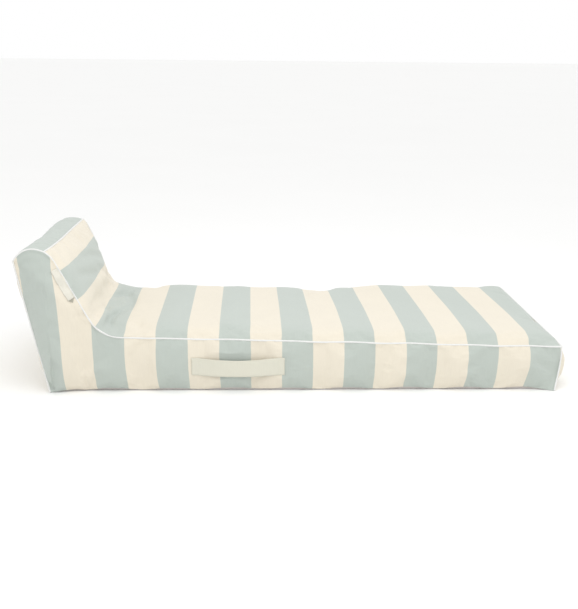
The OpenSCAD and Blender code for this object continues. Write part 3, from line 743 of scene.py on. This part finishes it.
def crease(panels):
    """Presses each crease in, with a low ridge beside it."""
    for node, first, last, depth, width in CREASES:
        piece = panels[node]
        a, b = Vector(first), Vector(last)
        along = b - a
        normals = [v.normal.copy() for v in piece.data.vertices]
        for v, normal in zip(piece.data.vertices, normals):
            t = (v.co - a).dot(along) / along.length_squared
            if -0.35 < t < 1.35:
                aside = v.co - a - along * t
                bend = 5 * MM * math.sin(t * 4 + width)
                off = aside - normal * aside.dot(normal)
                reach = off.length + (bend if off.x > 0 else -bend)
                ridge = math.exp(-((reach - 2.2 * width * MM) / (width * MM)) ** 2)
                press = math.exp(-(reach / (width * MM)) ** 2) - 0.45 * ridge
                v.co -= normal * depth * MM * press * smooth((t + 0.35) / 0.45) * smooth((1.35 - t) / 0.45)


GATHER = 95 * MM                  # the gathered folds run this far from a corner


def gather(panels):
    """Small folds that run in to the rear top corners, where four thicknesses of cloth are gathered."""
    for side in (-1, 1):
        corner = top_seam(side, 0)
        for node in (f"side_panel_{'right' if side < 0 else 'left'}", "back_panel_upper", "head_top_panel"):
            piece = panels[node]
            for v, normal in [(v, v.normal.copy()) for v in piece.data.vertices]:
                apart = v.co - corner
                reach = apart.length
                if 4 * MM < reach < GATHER:
                    flat = (apart.z, apart.x) if node.startswith("side") else (apart.y, apart.z or 1e-6)
                    angle = math.atan2(*flat)
                    fade = smooth((reach - 4 * MM) / (14 * MM)) * smooth((GATHER - reach) / (70 * MM))
                    v.co += normal * 3.6 * MM * math.sin(angle * 9 + 1.3 * side) * fade


def settle(panels):
    """Keeps the cloth off the floor and behind the straps that are sewn to it."""
    for node, piece in panels.items():
        for v in piece.data.vertices:
            v.co.z = max(v.co.z, FLOOR_GAP)
            if node.startswith("side"):
                for low, high in STRAP_ENDS:
                    face = min(abs(low.y), abs(high.y))
                    beyond = math.hypot(max(low.x - v.co.x, v.co.x - high.x, 0),
                                        max(low.z - v.co.z, v.co.z - high.z, 0))
                    limit = face - 0.4 * MM + 40 * MM * smooth(beyond / 0.09)
                    if v.co.y * low.y > 0 and abs(v.co.y) > limit:
                        v.co.y = math.copysign(limit, v.co.y)
        piece.data.update()


def dress(panels):
    """Gives each panel its cloth, puts it on the cover and hides the node that it stands for."""
    striped = canvas("yarn_dyed_striped_canvas", CREAM, TEAL)
    cream = canvas("yarn_dyed_cream_canvas", CREAM)
    # The underside's grey-pink colour is painted shade, standing for the shadow beneath the bottom seams; the
    # coarser yarn and lower roughness give it a coated cloth.
    plain = canvas("coated_base_cloth_painted_shade", "BFB9B5", None, 1.6 * MM, 0.7)
    other = {"base_panel": plain, "foot_panel": cream, "back_panel_lower": cream, "back_panel_upper": cream}
    for node, piece in panels.items():
        piece.data.materials.append(other.get(node, striped))
        finer = piece.modifiers.new("finer", "SUBSURF")
        finer.levels = finer.render_levels = 1
        finish(piece, "cover", "base_cloth" if node == "base_panel" else "canvas", node)


def finish(piece, body, slot, *nodes):
    """Puts a piece on its body and in place of the nodes named; slot is not used."""
    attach(piece, body)
    if nodes:
        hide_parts(*nodes)


# ---------------------------------------------------------------- piping
def tube(name, points, radius, material, sides=10, closed=False):
    """A round cord along points, as a mesh with rounded ends."""
    points = [Vector(p) for p in points]
    bm = bmesh.new()
    rings = []
    count = len(points)
    side = None
    for index, point in enumerate(points):
        ahead = points[(index + 1) % count] if closed or index < count - 1 else point
        behind = points[index - 1] if closed or index > 0 else point
        along = (ahead - behind).normalized()
        if side is None:
            side = along.orthogonal().normalized()
        side = (side - along * side.dot(along)).normalized()
        across = along.cross(side)
        rings.append([bm.verts.new(point + radius * (side * math.cos(a) + across * math.sin(a)))
                      for a in np.linspace(0, 2 * math.pi, sides, endpoint=False)])
    pairs = list(zip(rings, rings[1:])) + ([(rings[-1], rings[0])] if closed else [])
    for low, high in pairs:
        for k in range(sides):
            bm.faces.new((low[k], low[(k + 1) % sides], high[(k + 1) % sides], high[k]))
    if not closed:
        bm.faces.new(reversed(rings[0]))
        bm.faces.new(rings[-1])
    bmesh.ops.recalc_face_normals(bm, faces=bm.faces)
    piece = new_object(name, bm)
    piece.data.materials.append(material)
    return piece


def make_piping():
    binding = plain_cloth("bias_binding", "E6E6E4", 1.2 * MM)
    last = len(ROWS) - 1
    for side, word in ((-1, "right"), (1, "left")):
        path = [rear_seam(side, k) for k in range(last)]
        path += [top_seam(side, i) for i in range(COLUMNS - 1)]
        path += [foot_seam(side, k) for k in range(last, -1, -1)]
        for point in path:
            point.z = max(point.z, PIPING_R)
        finish(tube(f"side_piping_{word}", path, PIPING_R, binding), "cover", "piping", f"piping_side_{word}")
    proud = Vector((2.5 * MM, 0, 2 * MM))
    rows = {"piping_head_back": lambda j: crest_place(0, j),
            "piping_head_front": lambda j: front_place(0, j),
            "piping_foot": lambda j: front_place(len(FRONT_U) - 1, j) + proud * (1 - ACROSS[j] ** 8)}
    for node, place in rows.items():
        path = [place(j) for j in range(len(ACROSS))]
        finish(tube(node + "_cord", path, PIPING_R, binding), "cover", "piping", node)


# ---------------------------------------------------------------- handles and label
def stitches(name, path, out, thread, pitch=4.2 * MM, length=2.9 * MM, radius=0.35 * MM):
    """A row of thread stitches lying along path, raised from the cloth along out."""
    bm = bmesh.new()
    points = [Vector(p) for p in path]
    reach = [0.0]
    for a, b in zip(points, points[1:]):
        reach.append(reach[-1] + (b - a).length)

    def at(s):
        for k in range(len(reach) - 1):
            if s <= reach[k + 1]:
                return points[k].lerp(points[k + 1], (s - reach[k]) / (reach[k + 1] - reach[k]))
        return points[-1]

    s = pitch / 2
    while s + length < reach[-1]:
        a, b = at(s), at(s + length)
        along = (b - a).normalized()
        across = along.cross(out).normalized()
        shape = Matrix((along, across, out)).transposed().to_4x4()
        shape.translation = (a + b) / 2
        made = bmesh.ops.create_uvsphere(bm, u_segments=6, v_segments=4, radius=1.0)
        scale = Matrix.Diagonal((length / 2, radius, radius * 0.8, 1))
        bmesh.ops.transform(bm, matrix=shape @ scale, verts=made["verts"])
        s += pitch
    piece = new_object(name, bm)
    piece.data.materials.append(thread)
    return piece


def band(name, centres, out, heights, thick, material):
    """A flat strap along centres, facing out: an oblong section with rounded edges, its last end closed."""
    bm = bmesh.new()
    uv = bm.loops.layers.uv.new("cloth")
    rim = [(-1, a) for a in np.linspace(-0.5, 0.5, 14)] + [(1, a) for a in np.linspace(0.5, -0.5, 14)]
    rings = []
    up = Vector((0, 0, 1))
    for spot, height in zip(centres, heights):
        ring = []
        for face, a in rim:
            round_off = 1 - max(0.0, (abs(a) - 0.46) / 0.04) ** 2 * 0.75
            ring.append(bm.verts.new(spot + up * a * height + out * face * thick / 2 * round_off))
        rings.append(ring)
    count = len(rim)
    for low, high in zip(rings, rings[1:]):
        for k in range(count):
            bm.faces.new((low[k], low[(k + 1) % count], high[(k + 1) % count], high[k]))
    bm.faces.new(rings[-1])
    for face in bm.faces:
        for loop in face.loops:
            loop[uv].uv = (loop.vert.co.x, loop.vert.co.z)
    bmesh.ops.recalc_face_normals(bm, faces=bm.faces)
    piece = new_object(name, bm)
    piece.data.materials.append(material)
    return piece


STRAP_T = 2.4 * MM
STRAP_LIFT = 1.4 * MM             # middle of a strap's thickness off the face that it is sewn to
STRAP_STEPS = 44
THREAD_OUT = 1.35 * MM            # a stitch's middle off a strap's middle


def make_handles():
    """Each strap in two halves, sewn at their ends."""
    webbing = canvas("folded_canvas_strap", "D6D4C5", None, 1.8 * MM)
    thread = moulded("polyester_thread", "E4DFCF", 0.6, 0.3 * MM)
    for side, word in ((-1, "right"), (1, "left")):
        ends_low, ends_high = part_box(f"handle_ends_{word}")
        low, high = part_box(f"handle_strap_{word}")
        middle = (ends_low.x + ends_high.x) / 2
        reach = (ends_high.x - ends_low.x) / 2
        sewn = low.x - ends_low.x
        z_low, z_high = ends_low.z, ends_high.z
        face = min(abs(ends_low.y), abs(ends_high.y))
        far = max(abs(low.y), abs(high.y))
        out = Vector((0, side, 0))

        def section(d, sign):
            """Middle, height and lift of the strap at d from its own middle."""
            free = max(0.0, 1 - d / (reach - sewn))
            bow = (far - face - STRAP_LIFT) * (1 - (1 - free) ** 2) + STRAP_LIFT
            sag = math.sin(math.pi / 2 * free)
            lower, upper = z_low - 3 * MM * sag, z_high - 7 * MM * sag
            return Vector((middle + sign * d, side * (face + bow), (lower + upper) / 2)), upper - lower

        for part, sign in (("rear", -1), ("front", 1)):
            spots = [section(d, sign) for d in np.linspace(0, reach, STRAP_STEPS)]
            strap = band(f"strap_{word}_{part}", [s[0] for s in spots], out, [s[1] for s in spots],
                         STRAP_T, webbing)
            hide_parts(f"handle_strap_{word}", f"handle_ends_{word}")
            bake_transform(strap)
            for edge, v in (("lower", -0.44), ("upper", 0.44)):
                row = [s[0] + Vector((0, 0, s[1] * v)) + out * THREAD_OUT for s in spots[:-1]]
                seam = stitches(f"strap_stitch_{word}_{part}_{edge}", row, out, thread)
                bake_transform(seam)
            for inset in (4 * MM, sewn - 3 * MM):
                spot, height = section(reach - inset, sign)
                row = [spot + Vector((0, 0, height * v)) + out * THREAD_OUT
                       for v in np.linspace(-0.42, 0.42, 12)]
                seam = stitches(f"strap_end_stitch_{word}_{part}_{round(inset * 1000)}", row, out, thread)
                finish(seam, "cover", "strap")


def make_label(side_panel):
    """A blank woven tape, folded double at its top edge, over the swell of the side, its lower end turned and
    painted darker as shade.
    """
    tape = plain_cloth("woven_label_tape", "DEDBCF", 1.1 * MM)
    thread = moulded("label_thread", "DDD8C8", 0.6, 0.3 * MM)
    surface = BVHTree.FromPolygons([v.co for v in side_panel.data.vertices],
                                   [tuple(face.vertices) for face in side_panel.data.polygons])
    along = Vector((SLOPE[0], 0, SLOPE[1]))
    down = Vector((SLOPE[1], 0, -SLOPE[0]))
    start = Vector((D[0], 0, D[1])) + along * 49 * MM
    seam_y = -(HALF + PIPING_R + 1.2 * MM)
    length, width = 121 * MM, 24 * MM

    def spot(a, b, lift=0.0):
        point = start + along * length * a + down * width * b
        hit = surface.ray_cast(Vector((point.x, -1, point.z)), Vector((0, 1, 0)))[0]
        cloth_y = hit.y if hit else seam_y
        eased = min(cloth_y - 1.6 * MM - 2.5 * MM * b * (1 - b), seam_y - 3 * MM * b)
        return Vector((point.x, seam_y + (eased - seam_y) * smooth(b / 0.3 + 0.15) - lift, point.z))

    bm = bmesh.new()
    bmesh.ops.create_grid(bm, x_segments=30, y_segments=10, size=0.5)
    for v in bm.verts:
        a, b = v.co.x + 0.5, v.co.y + 0.5
        v.co = spot(a, b) - down * 1.1 * MM * math.sin(a * 7 + 0.6) * b
    bmesh.ops.recalc_face_normals(bm, faces=bm.faces)
    label = new_object("label_tape", bm)
    label.data.materials.append(tape)
    wall = label.modifiers.new("double tape", "SOLIDIFY")
    wall.thickness = 1.1 * MM
    wall.offset = 0
    finish(label, "label", "label", "label_tab")

    bm = bmesh.new()
    bmesh.ops.create_grid(bm, x_segments=6, y_segments=6, size=0.5)
    for v in bm.verts:
        a, b = v.co.x + 0.5, v.co.y + 0.5
        v.co = spot(1 + 0.11 * a * (1 - abs(2 * b - 1)), 0.12 + 0.86 * b, -0.5 * MM * a)
    bmesh.ops.recalc_face_normals(bm, faces=bm.faces)
    turned = new_object("label_turned_end", bm)
    # The turned end's darker colour is painted shade: the flap is coloured as if in its own shadow, not a
    # differently dyed back.
    turned.data.materials.append(plain_cloth("label_turned_end_painted_shade", "A9A597", 1.1 * MM))
    wall = turned.modifiers.new("tape", "SOLIDIFY")
    wall.thickness = 0.5 * MM
    finish(turned, "label", "label")
    row = [spot(a, 0.14, 0.75 * MM) for a in np.linspace(0.03, 0.97, 30)]
    seam = stitches("label_stitches", row, Vector((0, -1, 0)), thread, 3.4 * MM, 2.4 * MM, 0.3 * MM)
    finish(seam, "label", "label")


# ---------------------------------------------------------------- bladder film under the cloth
LINING_FOOT = 14 * MM             # the linings stop short of the bottom seam,
LINING_REAR = 35 * MM             # and of the rear seam,
LINING_IN = 7 * MM                # and lie this far inside the cloth
BED_FILM_X, BED_FILM_Z = -0.66, 0.19      # the bed's film ends here below the headrest
HEAD_FILM_X, HEAD_FILM_Z = -0.655, 0.205  # and the headrest's film begins here
BAFFLE_CELLS, BAFFLE_ROWS = 24, 8


def lining(name, source, keep, film, *nodes):
    """Film of a bladder wall, lying a little inside the cover panel that it fills."""
    bm = bmesh.new()
    bm.from_mesh(source.data)
    bm.normal_update()
    for v in bm.verts:
        v.co -= v.normal * LINING_IN
    for _ in range(2):
        rim = [f for f in bm.faces if any(v.is_boundary for v in f.verts)]
        bmesh.ops.delete(bm, geom=rim, context="FACES")
    spare = [f for f in bm.faces
             if f.calc_center_median().z < LINING_FOOT or not keep(f.calc_center_median())]
    bmesh.ops.delete(bm, geom=spare, context="FACES")
    piece = new_object(name, bm)
    piece.data.materials.append(film)
    finish(piece, "cover", "film", *nodes)


def make_linings(panels, film):
    """The films beside the cover panels, and the headrest's baffles, cut to the inflated headrest."""
    def bed(p):
        return p.x > A[0] + LINING_REAR and (p.x > BED_FILM_X or p.z < BED_FILM_Z)

    def head(p):
        return p.x < HEAD_FILM_X and p.z > HEAD_FILM_Z

    def inside(test):
        return lambda p: test(p) and abs(p.y) < HALF - 6 * MM

    lining("bed_film_top", panels["top_panel"], inside(bed), film, "bed_bladder_top")
    lining("head_film_front", panels["top_panel"], inside(head), film, "head_bladder_front")
    lining("bed_film_foot", panels["foot_panel"], lambda p: True, film, "bed_bladder_foot")
    for word in ("right", "left"):
        side = panels[f"side_panel_{word}"]
        lining(f"bed_film_{word}", side, bed, film, f"bed_bladder_side_{word}")
        lining(f"head_film_{word}", side, head, film, f"head_bladder_side_{word}")
    for number in (1, 2):
        low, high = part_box(f"head_baffle_{number}")
        level = (low.z + high.z) / 2
        front_x = D[0] + (D[1] - level) / math.tan(HEAD_SLOPE)

        def place(i, j, level=level, low=low, front_x=front_x):
            t = -0.97 + 1.94 * j / BAFFLE_CELLS
            reach = front_x - 9 * MM - 34 * MM * max(0.0, (t - 0.45) / 0.52) - low.x
            ripple = 2 * MM * math.sin(i * 0.9) * math.sin(j * 0.5)
            return Vector((low.x + reach * i / BAFFLE_ROWS, t * HALF, level + ripple))

        wall = cloth_grid(f"head_baffle_film_{number}", BAFFLE_ROWS, BAFFLE_CELLS, place, lambda i, j: (i, j))
        wall.data.materials.append(film)
        finish(wall, "cover", "film", f"head_baffle_{number}")


# ---------------------------------------------------------------- carried-over nodes
def coat(names, material):
    """Gives nodes of the frame one material."""
    for name in names:
        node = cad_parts[name]
        node.data.materials.clear()
        node.data.materials.append(material)


def coat_frame(film):
    valve = moulded("moulded_abs", "EDEDEA", 0.42, 0.5 * MM, 1.52)
    seal = moulded("silicone_seal", "D9D9D6", 0.5, 0.6 * MM, 1.41)
    plated = moulded("satin_nickel_plate", "C9C8C4", 0.3, 0.3 * MM, metallic=1.0, depth=0.03)
    tape = plain_cloth("woven_zip_tape", "ECEAE2", 0.9 * MM)
    nylon = moulded("nylon_coil", "F0EFEA", 0.4, 0.4 * MM, 1.53)
    names = list(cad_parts)
    coat([n for n in names if "bladder" in n or "baffle" in n], film)
    coat([n for n in names if "valve" in n and not n.endswith("flap")], valve)
    coat([n for n in names if n.endswith("valve_flap")], seal)
    coat(["zip_slider", "zip_pull", "zip_stops"], plated)
    coat(["zip_tape_upper", "zip_tape_lower"], tape)
    coat(["zip_coil_upper", "zip_coil_lower"], nylon)


make_camera()
make_studio()
cover = make_panels()
inflate(cover)
crease(cover)
gather(cover)
settle(cover)
dress(cover)
make_piping()
make_handles()
make_label(cover["side_panel_right"])
film = moulded("calendered_pvc_film", "D3DDE0", 0.28, 0.4 * MM, 1.53)
make_linings(cover, film)
coat_frame(film)

bpy.context.view_layer.update()
